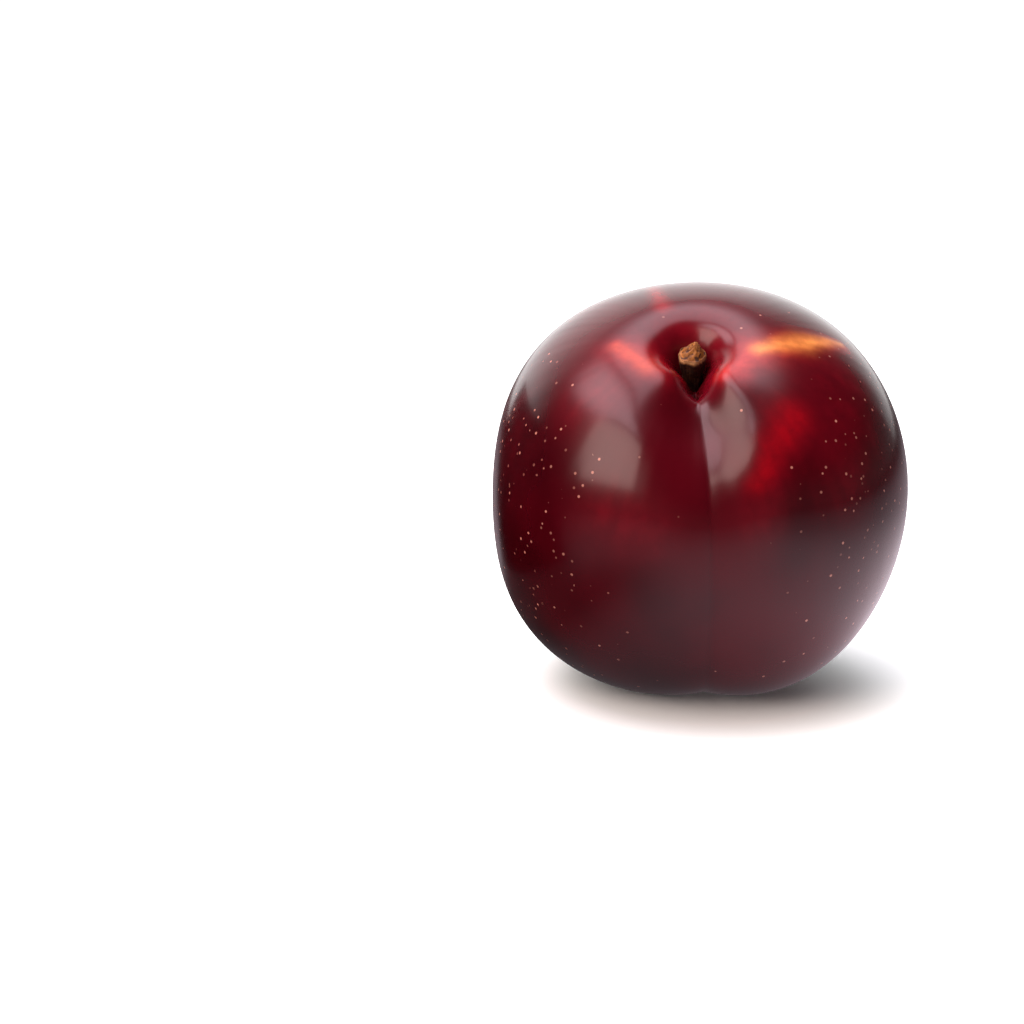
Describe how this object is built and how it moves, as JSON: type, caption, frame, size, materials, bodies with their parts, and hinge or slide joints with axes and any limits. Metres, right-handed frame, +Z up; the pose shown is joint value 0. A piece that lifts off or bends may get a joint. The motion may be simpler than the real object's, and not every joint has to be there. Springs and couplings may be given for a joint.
{
  "type": "plum",
  "caption": "Ripe dark red plum with a suture valley, a deep stem cavity and a short woody stem stub, resting on a small flat spot",
  "frame": {"origin": "on the surface that the plum rests on, under the middle of its bounding box", "axes": "+Z up; -Y towards the suture, which is also the way the stem end leans; +X to the right when the suture faces the viewer"},
  "size_m": [0.0596, 0.0594, 0.0581],
  "materials": {
    "skin": "smooth waxy plum skin with a satin gloss and fine pale dots",
    "stem_bark": "dry, rough stem bark with a golden brown broken end"
  },
  "bodies": {
    "root": {"fruit": "skin", "stem": "stem_bark"}
  },
  "joints": []
}
